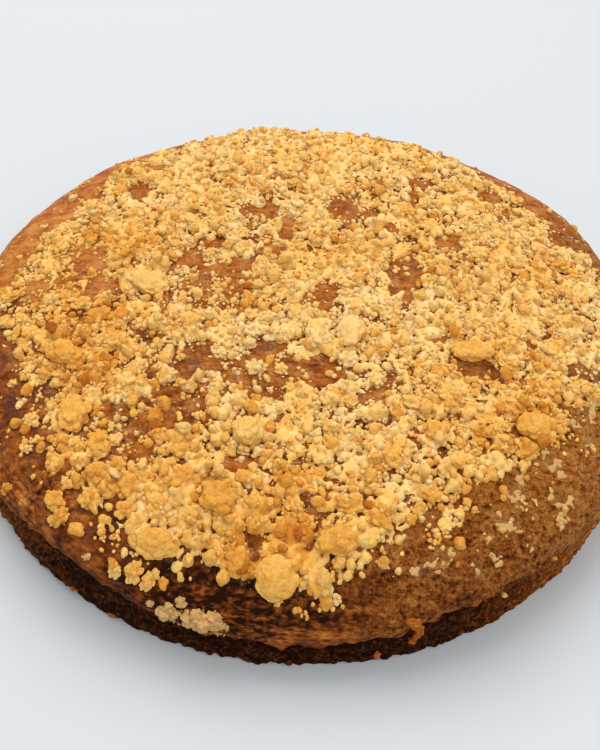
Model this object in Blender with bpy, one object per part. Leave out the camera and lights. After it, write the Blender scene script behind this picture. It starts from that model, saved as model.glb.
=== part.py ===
# Crumb coffee cake: a round, slightly domed sponge with a crumb topping baked on.
# Metres, +Z up, the front of the cake towards -Y.
# The origin is the middle of the flat underside.

import math
import random

import bmesh
import bpy
from mathutils import Matrix, Vector, geometry, noise

MM = 0.001

# The sponge as a whole
OUTLINE_RADIUS = 129.0 * MM      # mean radius of the side wall
OUTLINE_WAVE = 0.5 * MM          # how far the outline strays from a circle
BULGE = 2.6 * MM                 # the rear right swells out by this much at the lip
BULGE_ANGLE = 32.0               # degrees
BULGE_SPREAD = 42.0              # degrees
CROWN_HEIGHT = 44.5 * MM         # top of the dome, without crumbs
DOME_POWER = 4.0                 # the higher, the flatter the top

# The crust's lip, which hangs over the side
LIP_HEIGHT = 20.0 * MM           # mean height of the lip's edge
LIP_PROUD = 1.4 * MM             # the lip's edge beyond the side wall
LIP_ROLL = 1.8 * MM              # height of the rounded edge of the lip
SHOULDER_IN = 1.5 * MM           # the first ring of the top, in from the lip

# Where the lip rises or dips: angle and spread in degrees, height change
LIP_SWELLS = (
    (-130.0, 20.0, 4.5 * MM),
    (-92.0, 20.0, -6.0 * MM),
    (-50.0, 20.0, 4.5 * MM),
    (42.0, 38.0, 5.5 * MM),
    (138.0, 26.0, 2.0 * MM),
)

# The side wall from the bottom up: share of the lip's height, and radius
# beyond the outline
SIDE_ROWS = (
    (0.00, -0.3 * MM),
    (0.08, 0.4 * MM),
    (0.28, 0.5 * MM),
    (0.46, -0.3 * MM),
    (0.62, 0.0 * MM),
    (0.78, -0.8 * MM),
    (0.91, -1.8 * MM),
    (1.00, 0.8 * MM),
)
TORN_DEPTH = 1.4 * MM            # the torn crumb of the side, in and out
TORN_SIZE = 9.0 * MM             # length of one tear
TORN_LAYERS = 9                  # tears one above the other

# Hills and hollows of the bare crust: x, y, half length, half width, height
HILLS = (
    (10 * MM, 50 * MM, 7 * MM, 6 * MM, 2.6 * MM),
    (22 * MM, 48 * MM, 6 * MM, 5 * MM, 1.6 * MM),
    (9 * MM, -8 * MM, 6 * MM, 5 * MM, 1.6 * MM),
    (38 * MM, 12 * MM, 10 * MM, 18 * MM, -1.6 * MM),
    (-36 * MM, 14 * MM, 18 * MM, 15 * MM, -1.3 * MM),
    (5 * MM, -47 * MM, 9 * MM, 6 * MM, -1.8 * MM),
    (-58 * MM, -32 * MM, 5 * MM, 7 * MM, -1.8 * MM),
)

# Slow waves of the top: direction in degrees, wavelength, height, phase
TOP_WAVES = (
    (20.0, 61 * MM, 0.45 * MM, 0.4),
    (75.0, 47 * MM, 0.40 * MM, 2.1),
    (128.0, 39 * MM, 0.35 * MM, 4.0),
    (160.0, 31 * MM, 0.30 * MM, 1.2),
)

# How far out the crumbs reach: angle in degrees, radius
CRUMB_EDGE = (
    (-180, 121 * MM),
    (-162, 113 * MM),
    (-146, 112 * MM),
    (-132, 114 * MM),
    (-120, 114 * MM),
    (-112, 122 * MM),
    (-104, 119 * MM),
    (-90, 124 * MM),
    (-78, 119 * MM),
    (-68, 108 * MM),
    (-55, 103 * MM),
    (-40, 107 * MM),
    (-26, 114 * MM),
    (-8, 124 * MM),
    (20, 126 * MM),
    (36, 116 * MM),
    (52, 127 * MM),
    (112, 127 * MM),
    (126, 109 * MM),
    (152, 105 * MM),
    (168, 118 * MM),
    (180, 121 * MM),
)

# Patches where the crust shows between the crumbs: x, y, half sizes, in mm
BARE_PATCHES = (
    (-73, 57, 6, 6),
    (-72, 77, 8, 5),
    (-22, 46, 10, 6),
    (-10, 37, 4, 9),
    (-36, 27, 9, 5),
    (-47, 16, 6, 7),
    (-29, 15, 9, 6),
    (-14, 24, 7, 4),
    (-85, 12, 8, 9),
    (-75, -3, 12, 5),
    (-112, 20, 8, 6),
    (-103, -3, 6, 5),
    (13, 57, 8, 9),
    (22, 48, 6, 5),
    (5, 0, 8, 9),
    (38, 12, 8, 17),
    (32, 42, 4, 5),
    (45, 76, 9, 6),
    (41, 64, 4, 7),
    (56, 37, 7, 9),
    (74, 74, 6, 9),
    (95, 78, 8, 16),
    (104, 48, 9, 7),
    (105, 3, 6, 4),
    (103, -27, 9, 5),
    (63, -32, 9, 6),
    (5, -38, 16, 8),
    (-38, -40, 13, 7),
    (-12, -30, 8, 5),
    (-55, -28, 8, 5),
    (-45, -55, 6, 5),
    (-41, -66, 9, 4),
    (-60, -66, 7, 4),
    (-50, -78, 6, 7),
    (-18, -82, 7, 5),
    (-88, -58, 7, 8),
    (-80, -86, 12, 7),
    (-60, -105, 10, 6),
)

# Clumps as large as berries: x, y, half length, half width, height, turn,
# in mm and degrees
CLUMPS = (
    (-3, -118.5, 7.8, 7.0, 7.5, 10),
    (-16, -70, 6.6, 6.2, 7.5, 40),
    (4.7, -23, 5.0, 8.0, 6.5, 8),
    (17, -21.5, 5.8, 8.0, 6.5, -12),
    (-75, -66, 6.6, 8.2, 7.0, 15),
    (-84, -40, 7.4, 5.8, 6.5, -20),
    (80, -57, 7.4, 6.4, 6.5, 0),
    (-23, -96, 7.6, 5.6, 6.5, -25),
    (-41, -110, 8.2, 5.4, 6.5, -15),
    (15, -106, 8.0, 5.4, 6.0, 12),
    (61, -26, 9.8, 5.0, 5.5, 10),
    (-60, -2, 9.0, 6.4, 5.0, -30),
)
CLUMP_GAP = 0.4 * MM             # between a clump and what it lies on
CLUMP_RISE = 0.4                 # middle above the crust, as a share of height
CLUMP_LUMP = 0.13                # lumps of a clump, as a share of its size
CLUMP_GRAIN = 4.5 * MM
CLUMP_SEGMENTS = 10
CLUMP_RINGS = 7

# The crumbs that are one with the sponge
CRUMB_SEED = 7
CRUMB_COUNT = 104
LARGEST_CRUMB = 5.4 * MM         # radius
SMALLEST_CRUMB = 2.7 * MM
ROUND_CRUMBS = 12                # the largest ones get more faces
CRUMB_TRIES = 24                 # places tried for each, the freest is kept
CRUMB_SPACE = 0.5 * MM           # least gap between two crumbs
CRUMB_RISE = 0.5                 # centre above the crust, as a share of radius
CRUMB_SUNK = 0.25                # and above the knobs there, at the most
CRUMB_LUMP = 0.14
SMALL_FROM = 78 * MM             # behind this line the crumbs are small
SMALL_CRUMB = 3.4 * MM

# Crumbs too fine to model are knobs of their size, in a layer on the crust
KNOB_SIZE = 5.0 * MM
KNOB_HEIGHT = 3.2 * MM

# Mesh fineness
SIDE_STEPS = 96
TOP_SPACING = 5.4 * MM
TOP_MARGIN = 0.6                 # least distance to the shoulder, in top spacings

COLOURS = {
    "cake": (0.42, 0.20, 0.07),
    "clump": (0.80, 0.55, 0.22),
}


def clear_scene():
    for item in list(bpy.data.objects):
        bpy.data.objects.remove(item, do_unlink=True)


def material(name, colour, roughness):
    made = bpy.data.materials.new(name)
    made.use_nodes = True
    shader = made.node_tree.nodes["Principled BSDF"]
    shader.inputs["Base Color"].default_value = (*colour, 1.0)
    shader.inputs["Roughness"].default_value = roughness
    shader.inputs["Metallic"].default_value = 0.0
    return made


def angle_bump(angle, centre, spread):
    away = (angle - centre + 180.0) % 360.0 - 180.0
    return math.exp(-(away / spread) ** 2)


def outline(angle, share=1.0):
    # Radius of the side wall at a share of the lip's height
    turn = math.radians(angle)
    wave = math.sin(2 * turn + 0.6) + 0.7 * math.sin(3 * turn + 2.0)
    wave += 0.5 * math.sin(7 * turn + 4.1)
    bulge = BULGE * share * angle_bump(angle, BULGE_ANGLE, BULGE_SPREAD)
    return OUTLINE_RADIUS + OUTLINE_WAVE * wave / 2 + bulge


def lip_height(angle):
    turn = math.radians(angle)
    height = LIP_HEIGHT + 0.7 * MM * math.sin(5 * turn) + 0.5 * MM * math.sin(11 * turn + 1.0)
    return height + sum(rise * angle_bump(angle, at, spread) for at, spread, rise in LIP_SWELLS)


def patch_depth(x, y, patch):
    # 0 in the middle of an oval patch, 1 on its edge
    return math.hypot((x - patch[0]) / patch[2], (y - patch[1]) / patch[3])


def crumb_edge(angle):
    for (first, near), (last, far) in zip(CRUMB_EDGE, CRUMB_EDGE[1:]):
        if first <= angle <= last:
            share = (angle - first) / (last - first)
            return near + (far - near) * share
    return CRUMB_EDGE[0][1]


def crumb_cover(x, y):
    # 1 where crumbs lie, 0 on bare crust, with a soft border
    edge = crumb_edge(math.degrees(math.atan2(y, x)))
    cover = (edge - math.hypot(x, y)) / (6 * MM)
    for patch in BARE_PATCHES:
        cover = min(cover, 2.5 * (patch_depth(x / MM, y / MM, patch) - 1.0))
    return max(0.0, min(1.0, cover))


def dome(x, y):
    # Height of the smooth top: level in the middle, steep at the lip
    angle = math.degrees(math.atan2(y, x))
    share = min(1.0, math.hypot(x, y) / (outline(angle) + LIP_PROUD))
    foot = lip_height(angle) + LIP_ROLL
    return foot + (CROWN_HEIGHT - foot) * math.sqrt(1.0 - share ** DOME_POWER)


def undulation(x, y):
    height = 0.0
    for direction, length, rise, phase in TOP_WAVES:
        turn = math.radians(direction)
        along = x * math.cos(turn) + y * math.sin(turn)
        height += rise * math.sin(2 * math.pi * along / length + phase)
    for hill in HILLS:
        height += hill[4] * math.exp(-patch_depth(x, y, hill) ** 2)
    return height


def crust_height(x, y):
    # The sponge without its crumbs
    angle = math.degrees(math.atan2(y, x))
    inside = (outline(angle) - math.hypot(x, y)) / (10 * MM)
    return dome(x, y) + max(0.0, min(1.0, inside)) * undulation(x, y)


def top_height(x, y):
    knob = noise.cell(Vector((x, y, 0.0)) / KNOB_SIZE)
    return crust_height(x, y) + KNOB_HEIGHT * knob * crumb_cover(x, y)


def torn(angle, share):
    # The torn crumb of the side: long tears that lie along it
    turn = math.radians(angle)
    along = OUTLINE_RADIUS / TORN_SIZE
    spot = Vector((math.cos(turn) * along, math.sin(turn) * along, share * TORN_LAYERS))
    return TORN_DEPTH * noise.noise(spot)


def side_ring(share, rise, beyond, tearing):
    ring = []
    for step in range(SIDE_STEPS):
        angle = 360.0 * step / SIDE_STEPS - 180.0
        turn = math.radians(angle)
        radius = outline(angle, share) + beyond + tearing * torn(angle, share)
        height = share * lip_height(angle) + rise
        ring.append(Vector((radius * math.cos(turn), radius * math.sin(turn), height)))
    return ring


def side_rings():
    # The last three rings are the lip's edge and the shoulder, which aren't torn
    rings = [side_ring(share, 0.0, beyond, share < 1.0) for share, beyond in SIDE_ROWS]
    rings.append(side_ring(1.0, LIP_ROLL, LIP_PROUD, False))
    shoulder = side_ring(1.0, 0.0, LIP_PROUD - SHOULDER_IN, False)
    for point in shoulder:
        point.z = dome(point.x, point.y)
    return [*rings, shoulder]


def top_points():
    # Sunflower layout: each point turns by the golden angle from the last
    golden = math.pi * (3 - math.sqrt(5))
    count = round(math.pi * OUTLINE_RADIUS ** 2 / (TOP_SPACING ** 2 * math.sqrt(0.75)))
    points = []
    for index in range(count):
        radius = OUTLINE_RADIUS * math.sqrt((index + 0.5) / count)
        turn = index * golden
        x = radius * math.cos(turn)
        y = radius * math.sin(turn)
        edge = outline(math.degrees(math.atan2(y, x))) + LIP_PROUD - SHOULDER_IN
        if radius < edge - TOP_MARGIN * TOP_SPACING:
            points.append(Vector((x, y)))
    return points


def sponge_mesh():
    rings = side_rings()
    flat = [Vector((point.x, point.y)) for point in rings[-1]] + top_points()
    border = [list(range(SIDE_STEPS))]
    spots, _, faces, _, _, _ = geometry.delaunay_2d_cdt(flat, [], border, 1, 1e-7)
    mesh = bmesh.new()
    rows = [[mesh.verts.new(point) for point in ring] for ring in rings]
    top = []
    for index, spot in enumerate(spots):
        if index < SIDE_STEPS:
            top.append(rows[-1][index])
        else:
            top.append(mesh.verts.new((spot.x, spot.y, top_height(spot.x, spot.y))))
    for face in faces:
        mesh.faces.new([top[corner] for corner in face])
    for low, high in zip(rows, rows[1:]):
        for step in range(SIDE_STEPS):
            after = (step + 1) % SIDE_STEPS
            mesh.faces.new((low[step], low[after], high[after], high[step]))
    mesh.faces.new(list(reversed(rows[0])))
    bmesh.ops.triangulate(mesh, faces=mesh.faces[:])
    bmesh.ops.recalc_face_normals(mesh, faces=mesh.faces[:])
    return mesh


def add_object(name, mesh, colour, roughness=0.75):
    data = bpy.data.meshes.new(name)
    mesh.to_mesh(data)
    mesh.free()
    item = bpy.data.objects.new(name, data)
    bpy.context.scene.collection.objects.link(item)
    data.materials.append(material(name, colour, roughness))
    return item


def round_mesh(fineness):
    # 0 and 1 are crumbs, coarse and fine, 2 is a clump
    mesh = bmesh.new()
    if fineness == 2:
        bmesh.ops.create_uvsphere(mesh, u_segments=CLUMP_SEGMENTS, v_segments=CLUMP_RINGS, radius=1.0)
    else:
        bmesh.ops.create_icosphere(mesh, subdivisions=fineness + 1, radius=1.0)
    return mesh


def lumpy_ball(fineness, half_sizes, turn, lump, grain, seed):
    mesh = round_mesh(fineness)
    for vert in mesh.verts:
        shape = Vector(size * along for size, along in zip(half_sizes, vert.co))
        swell = 1.0 + 2 * lump * noise.noise(shape / grain + Vector((seed * 3.7, 0.0, 0.0)))
        vert.co = shape * swell
    bmesh.ops.rotate(mesh, cent=(0, 0, 0), matrix=Matrix.Rotation(turn, 3, "Z"), verts=mesh.verts[:])
    return mesh


def evaluated(item):
    graph = bpy.context.evaluated_depsgraph_get()
    data = bpy.data.meshes.new_from_object(item.evaluated_get(graph))
    old = item.data
    item.modifiers.clear()
    item.data = data
    bpy.data.meshes.remove(old)


def make_clump(number, layout, sponge):
    # A ball of crumb whose underside follows what it lies on
    x, y, half_length, half_width, height, turn = layout
    halves = (half_length * MM, half_width * MM, height * MM * (1 - CLUMP_RISE))
    ball = lumpy_ball(2, halves, math.radians(turn), CLUMP_LUMP, CLUMP_GRAIN, number)
    middle = crust_height(x * MM, y * MM) + height * MM * CLUMP_RISE
    bmesh.ops.translate(ball, vec=(x * MM, y * MM, middle), verts=ball.verts[:])
    clump = add_object(f"clump_{number}", ball, COLOURS["clump"])
    sponge.location.z = CLUMP_GAP
    cut = clump.modifiers.new("underside", "BOOLEAN")
    cut.operation = "DIFFERENCE"
    cut.solver = "EXACT"
    cut.object = sponge
    bpy.context.view_layer.update()
    evaluated(clump)
    sponge.location.z = 0.0
    return clump


def clump_space(x, y):
    # Distance from a point to the nearest clump's edge
    spaces = []
    for layout in CLUMPS:
        away = math.hypot(x - layout[0] * MM, y - layout[1] * MM)
        spaces.append(away - max(layout[2], layout[3]) * MM * (1 + CLUMP_LUMP))
    return min(spaces)


def crumb_places():
    # Largest first; of several random places the freest one is taken
    draw = random.Random(CRUMB_SEED)
    places = []
    for index in range(CRUMB_COUNT):
        share = index / (CRUMB_COUNT - 1)
        radius = LARGEST_CRUMB + (SMALLEST_CRUMB - LARGEST_CRUMB) * math.sqrt(share)
        best = None
        for _ in range(CRUMB_TRIES):
            reach = OUTLINE_RADIUS * math.sqrt(draw.random())
            turn = draw.uniform(-math.pi, math.pi)
            x = reach * math.cos(turn)
            y = reach * math.sin(turn)
            if crumb_cover(x, y) < 0.6 or (y > SMALL_FROM and radius > SMALL_CRUMB):
                continue
            space = clump_space(x, y)
            for other in places:
                space = min(space, math.hypot(x - other[0], y - other[1]) - other[2])
            if best is None or space > best[0]:
                best = (space, x, y)
        if best and best[0] > radius * (1 + CRUMB_LUMP) + CRUMB_SPACE:
            places.append((best[1], best[2], radius))
    return places


def crumb_middle(sponge, x, y, radius):
    # On the crust, but never so high that it would float over a low knob
    _, below, _, _ = sponge.ray_cast((x, y, 2 * CROWN_HEIGHT), (0, 0, -1))
    return min(crust_height(x, y) + CRUMB_RISE * radius, below.z + CRUMB_SUNK * radius)


def add_crumbs(sponge):
    draw = random.Random(CRUMB_SEED + 1)
    group = bpy.data.collections.new("crumbs")
    bpy.context.scene.collection.children.link(group)
    for index, (x, y, radius) in enumerate(crumb_places()):
        halves = (radius, radius * draw.uniform(0.75, 1.0), radius * draw.uniform(0.7, 0.85))
        fineness = 1 if index < ROUND_CRUMBS else 0
        ball = lumpy_ball(fineness, halves, draw.uniform(0, math.pi), CRUMB_LUMP, radius, index)
        middle = crumb_middle(sponge, x, y, radius)
        bmesh.ops.translate(ball, vec=(x, y, middle), verts=ball.verts[:])
        crumb = add_object(f"crumb_{index}", ball, COLOURS["clump"])
        bpy.context.scene.collection.objects.unlink(crumb)
        group.objects.link(crumb)
    join = sponge.modifiers.new("crumbs", "BOOLEAN")
    join.operation = "UNION"
    join.operand_type = "COLLECTION"
    join.collection = group
    join.solver = "EXACT"
    bpy.context.view_layer.update()
    evaluated(sponge)
    for crumb in list(group.objects):
        bpy.data.objects.remove(crumb, do_unlink=True)
    bpy.data.collections.remove(group)


def centre_on_origin(items):
    # The bulge at the rear right leaves the middle a little off the origin
    corners = [vert.co for item in items for vert in item.data.vertices]
    middle = [(min(c[axis] for c in corners) + max(c[axis] for c in corners)) / 2 for axis in (0, 1)]
    for item in items:
        item.data.transform(Matrix.Translation((-middle[0], -middle[1], 0.0)))
    print("middle was off by", [round(value / MM, 3) for value in middle], "mm")


def main():
    clear_scene()
    sponge = add_object("cake", sponge_mesh(), COLOURS["cake"], 0.6)
    clumps = [make_clump(number, layout, sponge) for number, layout in enumerate(CLUMPS, 1)]
    add_crumbs(sponge)
    centre_on_origin([sponge, *clumps])
    for item in (sponge, *clumps):
        item.data.shade_smooth()
        item.data.set_sharp_from_angle(angle=math.radians(50))
        print(item.name, len(item.data.polygons), "faces")


main()
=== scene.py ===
import math
import random

import bpy
import numpy as np
from mathutils import Matrix, Vector


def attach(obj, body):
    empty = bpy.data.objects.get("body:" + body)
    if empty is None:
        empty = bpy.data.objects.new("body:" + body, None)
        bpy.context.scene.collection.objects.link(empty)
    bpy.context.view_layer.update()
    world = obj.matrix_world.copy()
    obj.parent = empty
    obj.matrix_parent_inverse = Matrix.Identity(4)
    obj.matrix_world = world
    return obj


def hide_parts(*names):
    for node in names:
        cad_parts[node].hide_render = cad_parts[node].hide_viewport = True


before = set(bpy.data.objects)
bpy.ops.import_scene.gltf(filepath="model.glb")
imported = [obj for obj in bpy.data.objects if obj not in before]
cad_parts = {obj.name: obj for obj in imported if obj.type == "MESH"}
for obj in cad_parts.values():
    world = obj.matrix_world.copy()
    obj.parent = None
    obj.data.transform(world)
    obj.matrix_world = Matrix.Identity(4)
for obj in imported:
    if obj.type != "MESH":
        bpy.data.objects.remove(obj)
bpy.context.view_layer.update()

# All shapes are worked out in millimetres, +Z up, with the front towards -Y.
# The solids are centred on their own box, so the meshes are moved by the same amount.
mm = 0.001
centring = np.array([-0.784, -0.337, 0.0])

cake = {
    "radius": 129.0,  # mean radius of the side
    "wave": 0.5,  # how far the outline strays from a circle
    "bulge": (32.0, 42.0, 2.6),  # angle, spread in degrees, how far out
    "crown": 44.5,  # top of the dome without its crumbs
    "domePower": 4,  # the higher, the flatter the top
    "lip": 20.0,  # mean height of the lip's edge
    "lipProud": 1.4,
    "lipRoll": 1.8,
    "shoulder": 1.5,  # first ring of the top, in from the lip
    "shoulderRows": (1.0, 0.6, 0.3, 0.1, 0.0),  # the next rings, in from the lip
    "lipRows": (0.7, 0.35),  # rows of the lip's rounded edge, as shares of its roll
    "lipEdge": (0.8, 0.6),  # how far out the side ends, and what the roll adds
    "calmRim": 10,  # waves and hills fade out in this width of the rim
    # angle, spread, rise of the lip
    "swells": ((-130, 20, 4.5), (-92, 20, -6.0), (-50, 20, 4.5), (42, 38, 5.5), (138, 26, 2.0)),
    # share of the lip's height, radius beyond the outline
    "side": ((0.0, -0.3), (0.08, 0.4), (0.28, 0.5), (0.46, -0.3), (0.62, 0.0), (0.78, -0.8),
             (0.91, -1.8), (1.0, 0.8)),
    # direction, wavelength, height, phase
    "waves": ((20, 61, 0.45, 0.4), (75, 47, 0.40, 2.1), (128, 39, 0.35, 4.0), (160, 31, 0.30, 1.2)),
    # x, y, half length, half width, height
    "hills": ((10, 50, 7, 6, 2.6), (22, 48, 6, 5, 1.6), (9, -8, 6, 5, 1.6), (38, 12, 10, 18, -1.6),
              (-36, 14, 18, 15, -1.3), (5, -47, 9, 6, -1.8), (-58, -32, 5, 7, -1.8)),
    "squares": 248,  # squares across the top
    "sideRows": 26,
}

cover = {
    # angle, radius to which the crumbs reach
    "edge": (
        (-180, 121), (-162, 113), (-146, 112), (-132, 114), (-120, 114), (-112, 122), (-104, 119),
        (-90, 124), (-78, 119), (-68, 108), (-55, 103), (-40, 107), (-26, 114), (-8, 124), (20, 124),
        (34, 118), (48, 119), (58, 127), (112, 126), (126, 117), (140, 114), (152, 108), (168, 114),
        (180, 117)),
    # bare crust between the crumbs: x, y, half sizes
    "bare": (
        (-73, 57, 6, 6), (-72, 77, 8, 5), (-22, 46, 10, 6), (-10, 37, 4, 9), (-36, 27, 9, 5),
        (-47, 16, 6, 7), (-29, 15, 9, 6), (-14, 24, 7, 4), (-85, 12, 8, 9), (-75, -3, 12, 5),
        (-112, 20, 8, 6), (-103, -3, 6, 5), (13, 53, 10, 12), (22, 48, 6, 5), (5, -2, 8, 10),
        (38, 12, 8, 17), (32, 42, 4, 5), (45, 76, 9, 6), (41, 64, 4, 7), (56, 37, 7, 9), (74, 74, 6, 9),
        (95, 70, 6, 10), (104, 48, 9, 7), (105, 3, 6, 4), (103, -27, 9, 5), (63, -32, 9, 6),
        (5, -38, 16, 8), (-38, -40, 13, 7), (-12, -30, 8, 5), (-55, -28, 8, 5), (-45, -55, 6, 5),
        (-41, -66, 9, 4), (-60, -66, 7, 4), (-50, -78, 6, 7), (-18, -82, 7, 5), (-88, -58, 7, 8),
        (-80, -86, 12, 7), (-60, -105, 10, 6)),
    # thinner crumbs: x, y, half sizes, share that is missing
    "thin": (
        (-35, 2, 19, 24, 0.7), (-7, -42, 28, 11, 0.65), (-49, -41, 14, 11, 0.55), (-58, -72, 16, 14, 0.4),
        (-36, -60, 12, 8, 0.35), (9, 48, 9, 12, 0.5), (-81, 3, 10, 16, 0.55), (58, -34, 7, 7, 0.4),
        (3, -6, 6, 9, 0.6), (35, 15, 8, 20, 0.6), (-104, -24, 8, 34, 0.5), (-12, -108, 7, 5, 0.4),
        (96, -46, 8, 10, 0.5), (78, 63, 16, 26, 0.35), (8, 1, 9, 9, 0.6), (-75, -26, 6, 8, 0.4),
        (-32, 112, 30, 5, 0.3), (-52, -93, 7, 6, 0.5), (-73, -72, 7, 6, 0.5), (-16, -93, 7, 5, 0.4)),
    # more crumbs: x, y, half sizes, share
    "thick": (
        (-33, -115, 8, 5, 0.9), (-44, -103, 6, 5, 0.8), (5, -100, 14, 6, 0.9), (52, -91, 7, 6, 0.9),
        (29, -112, 6, 4, 0.8), (-69, -97, 7, 4, 0.6), (-72, -108, 5, 4, 0.5), (-14, -123, 8, 2.5, 0.7),
        (15, -121, 5, 2.5, 0.7), (-13, -113, 6, 5, 0.9), (-60, -98, 10, 5, 0.7), (-52, -108, 8, 4, 0.7),
        (-95, -59, 2.5, 3.5, 0.8), (-88, -67, 5.5, 3.5, 0.9), (-84, -75, 4, 5, 0.8), (-90, -79, 3, 3, 0.8),
        (-78, -84, 3, 4, 0.8), (-69, -89, 4.5, 4, 0.9), (-61, -94, 6, 4.5, 0.9), (-78, -95, 2, 2, 0.7),
        (-58, -104, 5, 3.5, 0.8), (-53, -100, 4, 4, 0.9), (-64, -104, 3, 2.5, 0.7), (-88, -52, 7, 6, 0.6),
        (27, -45, 6, 6, 0.7), (47, -98, 5, 4, 0.7), (-93, 24, 7, 7, 0.7)),
    "border": 6,  # width of the edge's soft border
    "steep": 2.5,  # how fast the crumbs set in round bare crust
    # noises that fray the border
    "fray": ((0.5, 9, 11), (0.45, 3.6, 12), (0.25, 1.7, 13)),
}


# Noise: repeatable random numbers from whole-number cells

def hashed(cells, seed):
    # whole numbers multiplied by large primes, mixed by shifts, cut to 24 bits
    x, y, z = np.moveaxis(cells.astype(np.int64), -1, 0)
    value = x * 374761393 + y * 668265263 + z * 1440662683 + seed * 974634777
    value = (value ^ (value >> 13)) * 1274126177
    value = (value ^ (value >> 17)) * 2246822519
    value = value ^ (value >> 15)
    return (value & 0xFFFFFF) / float(0xFFFFFF)


def softNoise(points, size, seed):
    # random numbers at the corners of cubes of this size, blended smoothly, from -1 to 1
    scaled = points / size
    cell = np.floor(scaled)
    part = scaled - cell
    part = part * part * (3 - 2 * part)
    total = np.zeros(points.shape[:-1])
    for corner in np.ndindex(2, 2, 2):
        weight = np.prod(np.where(corner, part, 1 - part), axis=-1)
        total += weight * hashed(cell + corner, seed)
    return 2 * total - 1


def noiseSum(points, layers):
    # soft noises added up, each with its share, size and seed
    return sum(share * softNoise(points, size, seed) for share, size, seed in layers)


def grains(points, size, seed):
    # balls of about this size crowded together: how deep a point lies in the nearest, from 0 to 0.75
    scaled = points / size
    cell = np.floor(scaled)
    deepest = np.zeros(points.shape[:-1])
    for step in np.ndindex(3, 3, 3):
        there = cell + step - 1
        middle = there + np.stack([hashed(there, seed + axis) for axis in range(3)], axis=-1)
        reach = 0.4 + 0.35 * hashed(there, seed + 3)
        deepest = np.maximum(deepest, reach ** 2 - ((scaled - middle) ** 2).sum(-1))
    return np.sqrt(deepest)


def smoothStep(low, high, value):
    share = np.clip((value - low) / (high - low), 0, 1)
    return share * share * (3 - 2 * share)


def spaced(x, y, z=0.0):
    return np.stack(np.broadcast_arrays(x, y, z), axis=-1).astype(float)


def bearing(x, y):
    # direction from the middle, in degrees
    return np.degrees(np.arctan2(y, x))


def atRadius(angle, radius, z=0.0):
    turn = np.radians(angle)
    return spaced(radius * np.cos(turn), radius * np.sin(turn), z)


# The cake's own shape, the same as in the solids, and where its crumbs lie

def angleBump(angle, centre, spread):
    # a bell curve round one direction
    away = (angle - centre + 180) % 360 - 180
    return np.exp(-(away / spread) ** 2)


def outline(angle, share=1.0):
    # radius of the side: three sine waves and a bulge that grows with height
    turn = np.radians(angle)
    wave = np.sin(2 * turn + 0.6) + 0.7 * np.sin(3 * turn + 2.0) + 0.5 * np.sin(7 * turn + 4.1)
    at, spread, out = cake["bulge"]
    return cake["radius"] + cake["wave"] * wave / 2 + out * share * angleBump(angle, at, spread)


def lipHeight(angle):
    # two sine waves and the swells of the lip
    turn = np.radians(angle)
    height = cake["lip"] + 0.7 * np.sin(5 * turn) + 0.5 * np.sin(11 * turn + 1.0)
    return height + sum(rise * angleBump(angle, at, spread) for at, spread, rise in cake["swells"])


def dome(x, y):
    # a flattened circle's arc from the lip up to the crown
    angle = bearing(x, y)
    share = np.minimum(1, np.hypot(x, y) / (outline(angle) + cake["lipProud"]))
    foot = lipHeight(angle) + cake["lipRoll"]
    return foot + (cake["crown"] - foot) * np.sqrt(1 - share ** cake["domePower"])


def ovalDepth(x, y, oval):
    # 0 in the middle of an oval, 1 on its edge
    return np.hypot((x - oval[0]) / oval[2], (y - oval[1]) / oval[3])


def bell(x, y, oval):
    # a bell curve, 1 in the middle of an oval and about a third on its edge
    return np.exp(-ovalDepth(x, y, oval) ** 2)


def bellSum(x, y, spots):
    # bell curves times each spot's last value, added up
    return sum(spot[4] * bell(x, y, spot) for spot in spots)


def crustHeight(x, y):
    # the dome with slow waves, hills and hollows, which fade out at the rim
    relief = bellSum(x, y, cake["hills"])
    for direction, length, rise, phase in cake["waves"]:
        turn = math.radians(direction)
        along = x * math.cos(turn) + y * math.sin(turn)
        relief = relief + rise * np.sin(2 * math.pi * along / length + phase)
    fromRim = outline(bearing(x, y)) - np.hypot(x, y)
    return dome(x, y) + np.clip(fromRim / cake["calmRim"], 0, 1) * relief


def crumbCover(x, y, patch=1.0):
    # 1 where crumbs lie, 0 on bare crust, with a soft border; patch scales the bare ovals
    angles, radii = np.array(cover["edge"]).T
    covered = (np.interp(bearing(x, y), angles, radii) - np.hypot(x, y)) / cover["border"]
    for oval in cover["bare"]:
        covered = np.minimum(covered, cover["steep"] * (ovalDepth(x, y, oval) - patch))
    return np.clip(covered, 0, 1)


def raggedCover(x, y):
    # the same with smaller bare patches, thin and thick spots, and a border frayed by noise
    fray = noiseSum(spaced(x, y), cover["fray"])
    covered = crumbCover(x, y, 0.6)
    for spot in cover["thin"]:
        covered = covered * (1 - spot[4] * bell(x, y, spot))
    for spot in cover["thick"]:
        covered = np.maximum(covered, spot[4] * bell(x, y, spot))
    return np.clip(covered * 1.2 + fray * (covered * 0.6 + 0.4), 0, 1)


def crustNormal(x, y):
    # from the height half a millimetre to either side
    east = crustHeight(x + 0.5, y) - crustHeight(x - 0.5, y)
    north = crustHeight(x, y + 0.5) - crustHeight(x, y - 0.5)
    normal = np.stack([-east, -north, np.ones_like(east)], axis=-1)
    return normal / np.linalg.norm(normal, axis=-1, keepdims=True)


# Meshes from arrays

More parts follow.
